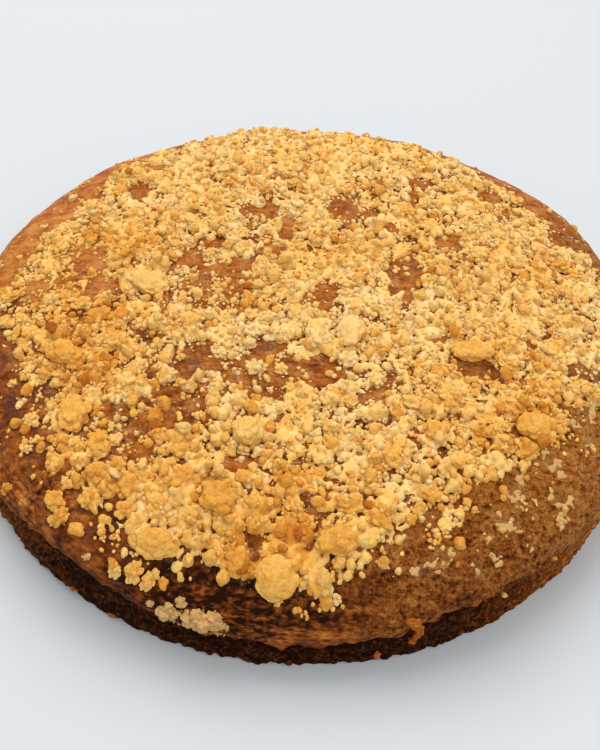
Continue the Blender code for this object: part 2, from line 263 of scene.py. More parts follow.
def addPiece(name, points, faces, paint, marks, nodes=(), hidden=0):
    # faces is a list of arrays of three or four corners a row, marks are values at the points;
    # the last faces, those of a hidden underside, are flat
    mesh = bpy.data.meshes.new(name)
    corners = np.concatenate([rows.ravel() for rows in faces])
    sizes = np.concatenate([np.full(len(rows), rows.shape[1]) for rows in faces])
    mesh.vertices.add(len(points))
    mesh.vertices.foreach_set("co", ((points + centring) * mm).ravel())
    mesh.loops.add(len(corners))
    mesh.loops.foreach_set("vertex_index", corners)
    mesh.polygons.add(len(sizes))
    mesh.polygons.foreach_set("loop_start", np.cumsum(sizes) - sizes)
    mesh.polygons.foreach_set("use_smooth", np.arange(len(sizes)) < len(sizes) - hidden)
    for mark, values in marks.items():
        mesh.attributes.new(mark, "FLOAT", "POINT").data.foreach_set("value", values.ravel())
    mesh.update(calc_edges=True)
    mesh.validate()
    mesh.materials.append(paint)
    piece = bpy.data.objects.new(name, mesh)
    bpy.context.scene.collection.objects.link(piece)
    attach(piece, "root")
    if nodes:
        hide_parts(*nodes)
    print(f"{name}: {int((sizes - 2).sum())} triangles")


def pointNormals(points, quads):
    # the cross products of the squares' diagonals, added up at their corners
    across = np.cross(points[quads[:, 2]] - points[quads[:, 0]], points[quads[:, 3]] - points[quads[:, 1]])
    count = len(points)
    normals = np.stack([sum(np.bincount(quads[:, corner], across[:, axis], count) for corner in range(4))
                        for axis in range(3)], axis=-1)
    return normals / np.maximum(np.linalg.norm(normals, axis=-1, keepdims=True), 1e-9)


def sheetGrid(rows, columns):
    # corner numbers of the squares of a grid, and its border in order
    number = np.arange(rows * columns).reshape(rows, columns)
    quads = np.stack([number[:-1, :-1], number[1:, :-1], number[1:, 1:], number[:-1, 1:]], axis=-1)
    border = np.concatenate([number[:-1, 0], number[-1, :-1], number[:0:-1, -1], number[0, :0:-1]])
    return quads.reshape(-1, 4), border


def copied(faces, count, size):
    # the faces of this many copies of a mesh with so many points
    return (faces + (np.arange(count) * size)[:, None, None]).reshape(-1, faces.shape[1])


def diskGrid(u, v):
    # a square grid bent into a disk of radius 1: the square's lines become arcs of ellipses
    u, v = np.meshgrid(u, v, indexing="ij")
    return spaced(u * np.sqrt(1 - v * v / 2), v * np.sqrt(1 - u * u / 2)).reshape(-1, 3), *sheetGrid(*u.shape)


def seedBall():
    # a ball of twenty triangles: two staggered rings of five points and two poles
    step = np.arange(10)
    turn = np.radians(36 * step)
    wide, high = 2 / math.sqrt(5), 1 / math.sqrt(5)
    points = np.vstack([spaced(wide * np.cos(turn), wide * np.sin(turn), np.where(step % 2, -high, high)),
                        [[0, 0, 1], [0, 0, -1]]])
    upper, lower = step[::2], step[1::2]
    top = np.stack([upper, (upper + 2) % 10, np.full(5, 10)], axis=-1)
    bottom = np.stack([(lower + 2) % 10, lower, np.full(5, 11)], axis=-1)
    down = np.stack([upper, upper + 1, (upper + 2) % 10], axis=-1)
    up = np.stack([lower, (lower + 2) % 10, (lower + 1) % 10], axis=-1)
    return points, np.concatenate([top, bottom, down, up])


def cubeBall(squares):
    # six square grids on a cube, their tangents evened out, blown up to a ball of radius 1
    steps = np.tan(np.linspace(-1, 1, squares + 1) * math.pi / 4)
    u, v = np.meshgrid(steps, steps, indexing="ij")
    one = np.ones_like(u)
    sides = [spaced(u, v, one), spaced(v, u, -one), spaced(one, u, v), spaced(-one, v, u),
             spaced(v, one, u), spaced(u, -one, v)]
    points = np.concatenate([side.reshape(-1, 3) for side in sides])
    quads = copied(sheetGrid(*u.shape)[0], len(sides), u.size)
    _, first, same = np.unique(np.round(points, 6), axis=0, return_index=True, return_inverse=True)
    points = points[first] / np.linalg.norm(points[first], axis=1, keepdims=True)
    return points, same.reshape(-1)[quads]


# Materials

def colour(code):
    # a hex colour as the shader's linear values
    parts = [int(code[at:at + 2], 16) / 255 for at in (1, 3, 5)]
    return (*[part / 12.92 if part < 0.04045 else ((part + 0.055) / 1.055) ** 2.4 for part in parts], 1.0)


class Wire:
    # one output socket, with arithmetic that adds Math nodes
    def __init__(self, paint, socket):
        self.paint = paint
        self.socket = socket

    def maths(self, operation, first, second):
        return self.paint.node("ShaderNodeMath", {"operation": operation}, {0: first, 1: second})

    def __add__(self, other):
        return self.maths("ADD", self, other)

    def __sub__(self, other):
        return self.maths("SUBTRACT", self, other)

    def __rsub__(self, other):
        return self.maths("SUBTRACT", other, self)

    def __mul__(self, other):
        return self.maths("MULTIPLY", self, other)

    __radd__ = __add__
    __rmul__ = __mul__


class Paint:
    # one material and its node tree
    def __init__(self, name):
        self.material = bpy.data.materials.new(name)
        self.material.use_nodes = True
        self.tree = self.material.node_tree
        self.shader = self.tree.nodes["Principled BSDF"]
        self.place = self.node("ShaderNodeTexCoord", {}, {}, "Object")

    def node(self, kind, settings, inputs, output=0):
        made = self.tree.nodes.new(kind)
        for name, value in settings.items():
            setattr(made, name, value)
        for name, value in inputs.items():
            if isinstance(value, Wire):
                self.tree.links.new(value.socket, made.inputs[name])
            else:
                made.inputs[name].default_value = value
        return Wire(self, made.outputs[output])

    def mark(self, name):
        return self.node("ShaderNodeAttribute", {"attribute_name": name}, {}, "Fac")

    def noise(self, size, detail=2.0, rough=0.5, where=None):
        # noise with spots of this size in millimetres, from 0 to 1
        inputs = {"Vector": where or self.place, "Scale": 1000 / size, "Detail": detail, "Roughness": rough}
        return self.node("ShaderNodeTexNoise", {}, inputs)

    def cells(self, size):
        # distance to the nearest of random points this far apart
        inputs = {"Vector": self.place, "Scale": 1000 / size}
        return self.node("ShaderNodeTexVoronoi", {}, inputs, "Distance")

    def between(self, low, high, value):
        # 0 below low and 1 above high, smooth between them
        inputs = {"Value": value, "From Min": low, "From Max": high}
        return self.node("ShaderNodeMapRange", {"interpolation_type": "SMOOTHSTEP"}, inputs)

    def ramp(self, value, tones):
        wire = self.node("ShaderNodeValToRGB", {}, {0: value})
        stops = wire.socket.node.color_ramp.elements
        while len(stops) < len(tones):
            stops.new(0.5)
        for stop, (position, code) in zip(stops, tones):
            stop.position = position
            stop.color = colour(code)
        return wire

    def mix(self, factor, tone, code):
        # inputs 6 and 7 and output 2 are the node's colours
        return self.node("ShaderNodeMix", {"data_type": "RGBA"}, {0: factor, 6: tone, 7: colour(code)}, 2)

    def vector(self, operation, inputs):
        return self.node("ShaderNodeVectorMath", {"operation": operation}, inputs)

    def bump(self, height, depth):
        # height from 0 to 1, depth in millimetres
        return self.node("ShaderNodeBump", {}, {"Height": height, "Distance": depth * mm})

    def finish(self, links, values):
        for name, wire in links.items():
            self.tree.links.new(wire.socket, self.shader.inputs[name])
        for name, value in values.items():
            self.shader.inputs[name].default_value = value
        return self.material


crustLook = {
    "tones": ((0.0, "#DD9B4E"), (0.25, "#CB7B32"), (0.5, "#A75819"), (0.75, "#6E3409"), (1.0, "#2A0E00")),
    # next line: a golden painted highlight for the torn side's raised bits, and a near-black painted shade
    # for pores
    "plum": "#693A2A", "golden": "#B06C22", "pore_shade": "#3A1704",
    "dust": "#DDB36A", "film": "#CC9C6C", "smear": "#D2A56A",
    "streakTurn": 0.5,  # direction of the streaks, in radians
    "streakScale": (0.18, 1.0, 1.0),
    "ridgeLength": 2.6, "ridgeWidth": 0.9,
    "bump": 1.1,
}


def crustPaint():
    paint = Paint("baked crust")
    marks = ("porous", "torn", "ridged", "film", "plum")
    porous, torn, ridged, film, plum = [paint.mark(name) for name in marks]
    spots = paint.noise(7.5, 4.0, 0.6)
    fine = paint.noise(0.9, 3.0, 0.6)
    lumpy = paint.noise(1.8, 4.0, 0.65)
    patchy = spots - 0.5
    gritty = fine - 0.5
    uneven = lumpy - 0.5
    crumbly = paint.between(0.3, 0.7, paint.noise(1.5, 4.0, 0.7))

    # streaks are noise drawn out one way, ridges are noise in rows round the cake
    drawn = paint.node("ShaderNodeMapping", {}, {"Vector": paint.place, "Scale": crustLook["streakScale"],
                                                 "Rotation": (0, 0, crustLook["streakTurn"])})
    streaks = paint.noise(2.2, 3.0, 0.6, drawn) - 0.5
    flat = paint.vector("NORMALIZE", {0: paint.vector("MULTIPLY", {0: paint.place, 1: (1, 1, 0)})})
    flat = paint.vector("SCALE", {0: flat, "Scale": cake["radius"] / crustLook["ridgeLength"]})
    high = paint.node("ShaderNodeSeparateXYZ", {}, {0: paint.place}, "Z") * (1000 / crustLook["ridgeWidth"])
    around = paint.vector("ADD", {0: flat, 1: paint.node("ShaderNodeCombineXYZ", {}, {"Z": high})})
    ridges = paint.node("ShaderNodeTexNoise", {}, {"Vector": around, "Scale": 1.0, "Detail": 3.0}) - 0.5

    # how dark it is baked; the tops of ridges, lumps and the torn side's crumbs are painted lighter as a
    # painted highlight, and their hollows darker as painted shade
    level = paint.mark("bake") + patchy * (1.1 - 0.4 * porous) + streaks * 0.7
    level = level + gritty * (0.5 + 1.9 * porous) - uneven * (0.8 + 1.0 * porous) - 0.25 * porous
    level = level - ridges * (ridged * 2.0 + torn * 0.7) - (patchy + streaks * 0.5) * torn
    level = level - (crumbly - 0.5) * torn * 0.5
    tone = paint.ramp(level, crustLook["tones"])

    # what lies over it: plum blotches, a golden painted highlight on the torn side's raised bits, painted
    # shade in the pores and the torn side's holes, dust of crumbs, film and smears
    blotch = plum * paint.between(0.42, 0.58, paint.noise(6.0, 4.0, 0.6) - uneven * 0.3)
    tone = paint.mix(blotch * 0.7, tone, crustLook["plum"])
    # painted highlight: the torn side's raised bits are painted golden
    painted_highlight = paint.between(0.45, 0.95, paint.mark("painted_highlight") + gritty * 0.9)
    tone = paint.mix(painted_highlight * paint.mark("gold") * 0.4, tone, crustLook["golden"])
    # painted shade in the pores of the crust and the holes of the torn side
    holes = 1 - paint.between(0.1, 0.28, paint.cells(2.7) + uneven * 0.9)
    holes = holes * (porous + torn * 0.5)
    tone = paint.mix(holes * 0.8, tone, crustLook["pore_shade"])
    dusty = 1 - paint.between(0.16, 0.32, paint.cells(1.3) + patchy * 0.5)
    dusty = dusty * (paint.mark("dust") + porous * 0.1) * 0.8
    tone = paint.mix(dusty, tone, crustLook["dust"])
    filmy = paint.between(0.48, 0.68, paint.noise(2.6, 5.0, 0.7)) * (film * 0.65 + porous * 0.06)
    tone = paint.mix(filmy, tone, crustLook["film"])
    frayed = paint.mark("smear") + (paint.noise(2.0, 3.0, 0.65) - 0.5) * 1.4
    smeared = paint.between(0.45, 0.8, frayed) * 0.2
    tone = paint.mix(smeared, tone, crustLook["smear"])

    height = fine * (0.9 + 1.6 * porous) + paint.cells(1.1) * (blotch * 0.5 + 0.3) - holes * 0.8
    height = height + lumpy * (0.9 + porous * 3.6 + film * 0.6 + plum * 0.8)
    height = height + ridges * (ridged * 2.2 + torn * 0.8) + crumbly * torn * 1.2
    roughness = 0.42 + spots * 0.1 + torn * 0.3 + dusty * 0.2 + smeared * 0.2
    glaze = (blotch * 0.14 + ridged * 0.06 + 0.02) * (1 - torn) * paint.between(0.4, 0.65, fine)
    return paint.finish({"Base Color": tone, "Roughness": roughness, "Coat Weight": glaze,
                         "Normal": paint.bump(height, crustLook["bump"])},
                        {"Specular IOR Level": 0.07, "Coat Roughness": 0.28})


crumbLook = {
    "tones": ((0.0, "#F2D08D"), (0.25, "#F1C46F"), (0.5, "#EBAD4D"), (0.75, "#D68B30"), (1.0, "#A6591B")),
    # the first colour on the next line is painted shade for the crumbs' creases and hollows
    "painted_shade": "#A85E19", "pale": "#C0965F",
    "bump": 0.3,
}


def crumbPaint():
    paint = Paint("crumb")
    pale = paint.mark("pale")
    patchy = paint.noise(4.5, 3.0) - 0.5
    fine = paint.noise(0.7, 3.0, 0.6) - 0.5
    level = paint.mark("toast") + patchy * 0.5 + fine * 0.4
    tone = paint.ramp(level, crumbLook["tones"])
    tone = paint.mix(pale * 0.85, tone, crumbLook["pale"])
    # painted shade in creases and hollows, weaker on pale crumbs
    tone = paint.mix(paint.mark("painted_shade") * (0.75 - 0.4 * pale), tone, crumbLook["painted_shade"])
    away = paint.cells(1.2)
    height = paint.noise(0.6, 4.0, 0.7) * 1.3 - away * away * 1.4
    return paint.finish({"Base Color": tone, "Normal": paint.bump(height, crumbLook["bump"])},
                        {"Roughness": 0.75, "Specular IOR Level": 0.1})


crust = crustPaint()
crumb = crumbPaint()
print("materials made")


# The sponge: a disk grid for the top, rows round the side, a flat underside

relief = {
    "torn": 1.3,  # tears of the side, in and out
    "ragged": 1.5,
    "mottle": 0.34,  # bumps of the crust
    "bubbles": 0.5,  # on the dark parts
    "ridges": 0.8,  # ridges along the front rim
    "pits": 1.0,  # pores of the crust at the front right
}

# x, y, half sizes, how much darker or lighter than the crust's mean
bakeSpots = (
    (-30, -121, 30, 10, 0.36), (10, -122, 26, 9, 0.2), (-90, -53, 9, 8, 0.14), (-97, -63, 6, 11, 0.12),
    (-75, -88, 13, 8, -0.02), (-55, -103, 11, 8, 0.06), (-85, -85, 12, 8, -0.06), (-100, 30, 30, 40, -0.18),
    (-75, 95, 45, 22, -0.12), (60, -110, 45, 24, 0.08), (5, -47, 7, 6, 0.12), (-58, -32, 5, 7, 0.35),
    (95, -75, 34, 34, -0.08), (10, 50, 9, 8, 0.08), (38, 12, 8, 16, 0.02))

# x, y, half sizes
plumSpots = (
    (-90, -53, 14, 14), (-97, -63, 10, 16), (-75, -88, 18, 12), (-55, -103, 16, 10), (-112, -22, 8, 16),
    (-104, -38, 9, 10), (38, 18, 6, 9), (-12, -30, 8, 5), (-38, -40, 12, 6))
porousSpots = ((75, -95, 40, 32), (112, -50, 20, 45), (45, -115, 35, 16), (118, 30, 14, 60))
ridgeSpots = ((-20, -126, 48, 11), (-85, -95, 26, 14))
smearSpots = (
    (69.6, -93.3, 6.4, 4.2), (46, -108.9, 4, 3.8), (50.4, -105.8, 2.8, 2.8), (74.1, -80.3, 3.2, 5.6),
    (86.5, -81.8, 3.2, 2.8), (89, -88, 2.2, 4.8), (92.9, -81, 3.2, 2.8), (59.5, -109.5, 3.2, 3.2),
    (66, -105.5, 2.4, 2), (68.9, -83.1, 3.2, 2.4), (63.3, -99.8, 2.6, 2.2), (88, -70.8, 3, 4.9),
    (85.3, -68.4, 4, 3), (104, -44, 2.8, 3.8), (100, -58, 2.2, 4), (110, -30, 2.4, 3.2), (96, -50, 3, 2.2),
    (40, -112, 3.2, 2.2), (78, -98, 2, 2.6))


def spotSum(x, y, spots):
    # bell curves added up and held below 1
    return np.clip(sum(bell(x, y, spot) for spot in spots), 0, 1)


def spongeSheet():
    # a disk grid for the top, then rows from the lip to the foot with as many points as the disk's border
    steps = np.linspace(-1, 1, cake["squares"] + 1)
    disk, topQuads, ring = diskGrid(steps, steps)
    angle = bearing(disk[:, 0], disk[:, 1])
    reach = np.hypot(disk[:, 0], disk[:, 1])
    rim = outline(angle) + cake["lipProud"] - cake["shoulder"]
    rim = rim * (0.6 + 0.4 * np.sinc(reach / 2) * math.pi / 2)      # rings are denser at the rim
    x, y = (disk[:, :2] * rim[:, None]).T
    top = spaced(x, y, crustHeight(x, y))
    around = angle[ring]
    lip = lipHeight(around)
    rows = []
    for inward in cake["shoulderRows"]:
        row = atRadius(around, outline(around) + cake["lipProud"] - inward)
        row[:, 2] = dome(row[:, 0], row[:, 1])
        rows.append(row)
    out, roll = cake["lipEdge"]
    for share in cake["lipRows"]:
        radius = outline(around) + out + roll * share ** 0.5
        rows.append(atRadius(around, radius, lip + cake["lipRoll"] * share))
    shares, beyond = np.array(cake["side"]).T
    for share in np.linspace(1, 0, cake["sideRows"]):
        radius = outline(around, share) + np.interp(share, shares, beyond)
        rows.append(atRadius(around, radius, lip * share))
    count = len(ring)
    first = len(top) + count * np.arange(len(rows))
    links = np.vstack([ring[None, :], first[:, None] + np.arange(count)])
    after = np.roll(links, -1, axis=1)
    sideQuads = np.stack([links[1:], after[1:], after[:-1], links[:-1]], axis=-1).reshape(-1, 4)
    return np.vstack([top, *rows]), np.vstack([topQuads, sideQuads]), links


def makeSponge():
    points, quads, links = spongeSheet()
    normals = pointNormals(points, quads)

    # where each kind of surface lies
    x, y, z = points.T
    angle = bearing(x, y)
    radius = np.hypot(x, y)
    height = z / lipHeight(angle)
    onSide = np.zeros(len(points))
    lipEnd = len(cake["shoulderRows"]) + len(cake["lipRows"])
    onSide[links[lipEnd, 0]:] = 1        # from the last of the lip's rows down
    torn = onSide * smoothStep(1.0, 0.94, height + 0.12 * softNoise(points, 3.5, 67))
    ridged = spotSum(x, y, ridgeSpots) * (1 - torn)
    porous = spotSum(x, y, porousSpots) * (1 - torn)
    plum = spotSum(x, y, plumSpots) * (1 - torn)

    # the torn side: tears that lie along it, and crumbs
    along = atRadius(angle, cake["radius"], z) / (9, 9, 2.3)
    tears = softNoise(along, 1.0, 21) + 0.5 * softNoise(along * (2.1, 2.1, 1.7), 1.0, 22)
    ragged = grains(points, 2.3, 31) - 0.4 + 0.4 * softNoise(points, 1.5, 32)
    side = relief["torn"] * tears * 0.75 + relief["ragged"] * ragged
    side = side * smoothStep(-0.05, 0.1, height)
    side = side + 0.7 * softNoise(points, 3.0, 34) * smoothStep(0.2, 0.0, height)

    # the crust: mottle, bubbles, ridges and pits, and an uneven lip
    mottle = noiseSum(points, ((1, 4.5, 41), (0.6, 1.9, 42)))
    bands = softNoise(spaced(np.radians(angle) * cake["radius"] / 5, radius / 1.3, z / 1.3), 1.0, 51)
    pits = smoothStep(0.35, 0.75, grains(points, 3.4, 61)) * smoothStep(-0.2, 0.4, softNoise(points, 9, 62))
    bubbles = (grains(points, 1.9, 63) - 0.3) * plum * smoothStep(-0.3, 0.3, softNoise(points, 6, 64))
    skin = relief["mottle"] * mottle + relief["bubbles"] * bubbles
    skin = skin + relief["ridges"] * bands * ridged - relief["pits"] * pits * porous
    nearLip = np.exp(-((z - lipHeight(angle) - 1) / 3) ** 2)
    edge = noiseSum(points, ((0.8, 6, 65), (0.7, 2.4, 66)))
    edge = edge * (1 + 1.2 * angleBump(angle, -35, 35))
    lift = torn * side + (1 - torn) * skin + nearLip * edge

    # the lifted points, the foot laid flat, and the underside round a middle point
    foot = links[-1]
    points = points + normals * lift[:, None]
    points[foot, 2] = 0
    middle = len(points)
    points = np.vstack([points, [[0, 0, 0]]])
    underside = np.stack([foot, np.full(len(foot), middle), np.roll(foot, -1)], axis=-1)

    # values for the crust's colours
    bake = 0.42 + 0.1 * smoothStep(20, -110, y) + 0.1 * smoothStep(100, 128, radius) * smoothStep(60, -90, y)
    bake = bake + bellSum(x, y, bakeSpots)
    # painted shade: the torn side is much darker at the front, under the lip; elsewhere it is a little
    # lighter, most at the right
    bake = bake + torn * (0.9 * angleBump(angle, -95, 42) - 0.2 - 0.15 * angleBump(angle, -25, 45))
    bake = bake - 0.22 * angleBump(angle, -84, 10) * np.exp(-((z - 20) / 2.2) ** 2)
    # painted shade: the crust is darker where crumbs cover it
    bake = bake + 0.22 * smoothStep(0.5, 1.0, raggedCover(x, y)) * (1 - onSide)
    marks = {
        "bake": np.clip(bake, 0, 1),
        "plum": plum,
        "torn": torn,
        "ridged": ridged,
        # how high each point is lifted; the torn side's raised bits get a golden painted highlight from it
        "painted_highlight": np.clip(0.5 + lift / 2.2, 0, 1),
        "porous": porous,
        "dust": crumbCover(x, y) * (1 - onSide) * 0.7,
        "film": crumbCover(x, y, 0) * (1 - onSide),
        # where the torn side gets its painted highlight: less at the front, which lies in shade
        "gold": torn * (1 - 0.9 * angleBump(angle, -85, 50)),
        "smear": spotSum(x, y, smearSpots) * (1 - torn),
    }
    marks = {name: np.append(values, 0.6) for name, values in marks.items()}        # 0.6 in the middle point
    addPiece("sponge", points, [quads, underside], crust, marks, ["cake"], len(foot))


makeSponge()


# The ground of merged crumbs: lumps, and on them and between them balls from small crumbs down to grains

ground = {
    "squares": 570, "reach": 126.5,
    "sunk": 1.3,  # how deep it lies below bare crust
    "lumps": {"seed": 81, "gap": 5.6, "radius": (1.8, 3.8), "flat": 0.66, "base": (-0.8, 0.4), "chance": 0.65,
              "cover": (0.5, 1.0), "heap": 15, "toast": 0.1},
    "layers": (
        {"seed": 82, "gap": 3.3, "radius": (1.2, 2.1), "flat": 0.85, "base": (-0.5, 0.5), "chance": 0.7,
         "cover": (0.45, 1.0), "heap": 9, "toast": 0.05},
        {"seed": 83, "gap": 2.1, "radius": (0.8, 1.3), "flat": 0.85, "base": (-0.3, 0.4), "chance": 0.75,
         "cover": (0.3, 0.9), "heap": 6, "toast": -0.02},
        {"seed": 84, "gap": 1.5, "radius": (0.5, 0.8), "flat": 0.9, "base": (-0.1, 0.3), "chance": 0.3,
         "cover": (0.2, 0.9), "heap": 5, "toast": -0.05}),
}


# x, y, half sizes, how much more toasted
toastSpots = (
    (-27, -95, 6, 5, 0.38), (-14, -109, 7, 6, 0.35), (-12, -117, 6, 4, 0.3), (3, -103, 5, 6, 0.33),
    (-84, -40, 9, 9, 0.28), (80, -57, 9, 8, 0.24), (100, 31, 9, 7, 0.2), (46, -62, 10, 8, 0.15),
    (-75, -19, 9, 8, 0.28), (61, -26, 12, 8, 0.15), (-4, -23, 26, 12, -0.12), (60, -2, 40, 22, -0.05))


def toastAt(x, y):
    # paler in the middle and at the rear, more golden to the left and the front
    toast = 0.22 + 0.12 * smoothStep(-35, -105, y) + 0.08 * smoothStep(-20, -90, x)
    toast = toast - 0.09 * smoothStep(0, 80, y) + bellSum(x, y, toastSpots)
    return toast + 0.16 * softNoise(spaced(x, y), 22, 71)


def ballLayer(x, y, look, under=None):
    # balls on a jittered grid, some left out: how far the highest stands above the crust, and its toast
    gap, span = look["gap"], 132.0
    number = np.arange(int(2 * span / gap))
    shape = (len(number), len(number))
    draw = np.random.default_rng(look["seed"])
    middleX = (number[:, None] + draw.random(shape)) * gap - span
    middleY = (number[None, :] + draw.random(shape)) * gap - span
    heaps = smoothStep(-0.55, 0.25, softNoise(spaced(middleX, middleY), look["heap"], look["seed"] + 20))
    chance = look["chance"] * smoothStep(*look["cover"], raggedCover(middleX, middleY)) * (0.4 + 0.6 * heaps)
    chance = chance * smoothStep(122, 117, np.hypot(middleX, middleY))
    radius = np.where(draw.random(shape) < chance, draw.uniform(*look["radius"], shape), 0)
    base = draw.uniform(*look["base"], shape)
    toast = look["toast"] + draw.normal(0, 0.1, shape)
    if under:
        base = base + np.maximum(0, ballLayer(middleX, middleY, under)[0])
    column, row = (np.floor((values + span) / gap).astype(int) for values in (x, y))
    top, tone = np.full(x.shape, -9.0), np.zeros(x.shape)
    for east, north in np.ndindex(3, 3):
        cell = (np.clip(column + east - 1, 0, shape[0] - 1), np.clip(row + north - 1, 0, shape[0] - 1))
        inside = radius[cell] ** 2 - (x - middleX[cell]) ** 2 - (y - middleY[cell]) ** 2
        high = base[cell] + look["flat"] * np.sqrt(np.maximum(inside, 0))
        higher = (inside > 0) & (high > top)
        top, tone = np.where(higher, high, top), np.where(higher, toast[cell], tone)
    return top, tone


def softened(values, times):
    # each value averaged with its neighbours in the grid, along one direction and then the other
    for _ in range(2 * times):
        edged = np.pad(values, ((1, 1), (0, 0)), "edge")
        values = (0.5 * values + 0.25 * (edged[:-2] + edged[2:])).T
    return values


def groundLift(x, y):
    # how far the highest of all layers stands above the crust; where crumbs are dense, a rough bed fills the
    # gaps, and the smears are a thin knobbly film
    spots = spaced(x, y)
    sunk = ground["sunk"]
    dense = raggedCover(x, y) + 0.3 * softNoise(spots, 2.4, 87) - 0.02 * smoothStep(-20, -90, y)
    bed = smoothStep(0.7, 1.1, dense) * (sunk - 0.4 + 1.2 * grains(spots, 1.9, 88)) - sunk
    frayed = spotSum(x, y, smearSpots) + 0.5 * softNoise(spots, 4, 89) + 0.5 * softNoise(spots, 1.6, 90)
    film = smoothStep(0.25, 0.7, frayed) * (sunk - 0.4 + 1.6 * grains(spots, 1.6, 93)) - sunk
    bed = np.maximum(bed, film)
    found = [(bed, 0 * bed), ballLayer(x, y, ground["lumps"])]
    tops, tones = zip(*found, *[ballLayer(x, y, look, ground["lumps"]) for look in ground["layers"]])
    highest = np.argmax(tops, axis=0)
    return np.max(tops, axis=0), np.choose(highest, tones)


def makeGround():
    # the layers' highest surface, softened, cut into quarters
    side = ground["squares"] + 1
    steps = np.linspace(-1, 1, side)
    disk, _, _ = diskGrid(steps, steps)
    flat = disk * ground["reach"]
    lift, tone = (values.reshape(side, side) for values in groundLift(*flat[:, :2].T))
    lift, tone = softened(lift, 1), softened(tone, 1)
    hollow = softened(lift, 6) - lift
    x, y = flat[:, :2].T
    points = spaced(x, y, crustHeight(x, y)) + crustNormal(x, y) * lift.reshape(-1, 1)
    points = points.reshape(side, side, 3)
    toast = (toastAt(x, y) - 0.06).reshape(side, side) + 0.04 * lift + tone
    # painted shade in the ground's hollows, weaker towards the rear
    painted_shade = smoothStep(0.0, 0.8, hollow) * (1 - 0.75 * smoothStep(0, 90, y).reshape(side, side))
    pale = 0.9 * smoothStep(0.05, 0.25, spotSum(x, y, smearSpots)).reshape(side, side)
    half = side // 2
    parts = (slice(0, half + 2), slice(half - 1, side))         # they overlap by a hair, so no seam shows
    quads, ring = sheetGrid(half + 2, half + 2)
    for number, (rows, columns) in enumerate([(first, second) for first in parts for second in parts], 1):
        corner = points[rows, columns].reshape(-1, 3)
        corner[ring, 2] -= 0.03
        inner = corner.mean(axis=0) * (1, 1, 0) + (0, 0, 26)
        below = np.stack([ring, np.full(len(ring), len(corner)), np.roll(ring, -1)], axis=-1)
        marks = {"toast": np.append(toast[rows, columns], 0.3), "painted_shade": np.append(painted_shade[rows, columns], 0),
                 "pale": np.append(pale[rows, columns], 0)}
        addPiece(f"merged_crumbs_{number}", np.vstack([corner, inner]), [quads, below], crumb, marks,
                 hidden=len(below))


makeGround()


# Crumbs and clumps: balls of smaller balls

def popcorn(directions, count, lobes, draw):
    # in each direction the farthest surface of any of the smaller balls; the root of a sum of high powers
    # is nearly the largest, with rounded creases
    way = draw.normal(size=(count, lobes["number"], 3))
    way /= np.linalg.norm(way, axis=2, keepdims=True)
    middles = way * draw.uniform(*lobes["out"], (count, lobes["number"], 1))
    size = draw.uniform(*lobes["size"], (count, lobes["number"]))
    along = np.einsum("kd,nld->nkl", directions, middles)
    inside = (size ** 2 - (middles ** 2).sum(2))[:, None, :] + along ** 2
    reach = np.where(inside > 0, along + np.sqrt(np.maximum(inside, 0)), 0)
    power = 30
    return (np.maximum(reach, 0) ** power).sum(2).clip(lobes["core"] ** power) ** (1 / power)


def turned(points, angle, first, second):
    # turned in the plane of two of the three axes
    one, other = points[..., first].copy(), points[..., second].copy()
    points[..., first] = one * np.cos(angle) - other * np.sin(angle)
    points[..., second] = one * np.sin(angle) + other * np.cos(angle)


def crumbPiece(name, look, places, halves, turns, toast, nodes=(), tilt=0.0, pale=None):
    # places are the balls' middles, halves their half sizes, turns round the upright, in degrees
    draw = np.random.default_rng(look["seed"])
    directions, faces = cubeBall(look["squares"]) if look["squares"] else seedBall()
    count = len(places)
    reach = 0.9 + (popcorn(directions, count, look["lobes"], draw) - 0.9) * look.get("uneven", 1)
    points = directions * reach[..., None] * halves[:, None, :]
    if tilt:
        turned(points, np.radians(draw.normal(0, tilt, (count, 1))), 1, 2)
    turned(points, np.radians(turns)[:, None], 0, 1)
    rise = points[..., 2] / halves[:, 2:]
    outward = points / np.maximum(np.linalg.norm(points, axis=2, keepdims=True), 1e-6)

    # lean each with the crust under it: z moves by the crust's slope
    normal = crustNormal(places[:, 0], places[:, 1])
    slope = -(normal[:, None, :2] * points[..., :2]).sum(2) / normal[:, None, 2]
    points[..., 2] += np.clip(slope, -4, 4) * look["follow"]
    points = points + places[:, None, :]
    lumps = 0.6 * (grains(points, look["grain"], 91) - 0.4) + 0.3 * softNoise(points, 1.4, 92)
    points = points + outward * (lumps * look["depth"])[..., None]

    # creases and low spots get painted shade, tops are more toasted
    creased = smoothStep(0.0, -0.2, reach - reach.mean(axis=1, keepdims=True))
    marks = {"toast": toast[:, None] + look["topToast"] * rise + 0.12 * lumps,
             "painted_shade": creased * 0.5 + smoothStep(0.1, -0.3, lumps) * 0.3}
    if pale is not None:
        marks["pale"] = pale[:, None] + 0 * rise
    faces = copied(faces, count, len(directions))
    addPiece(name, points.reshape(-1, 3), [faces], crumb, marks, nodes)


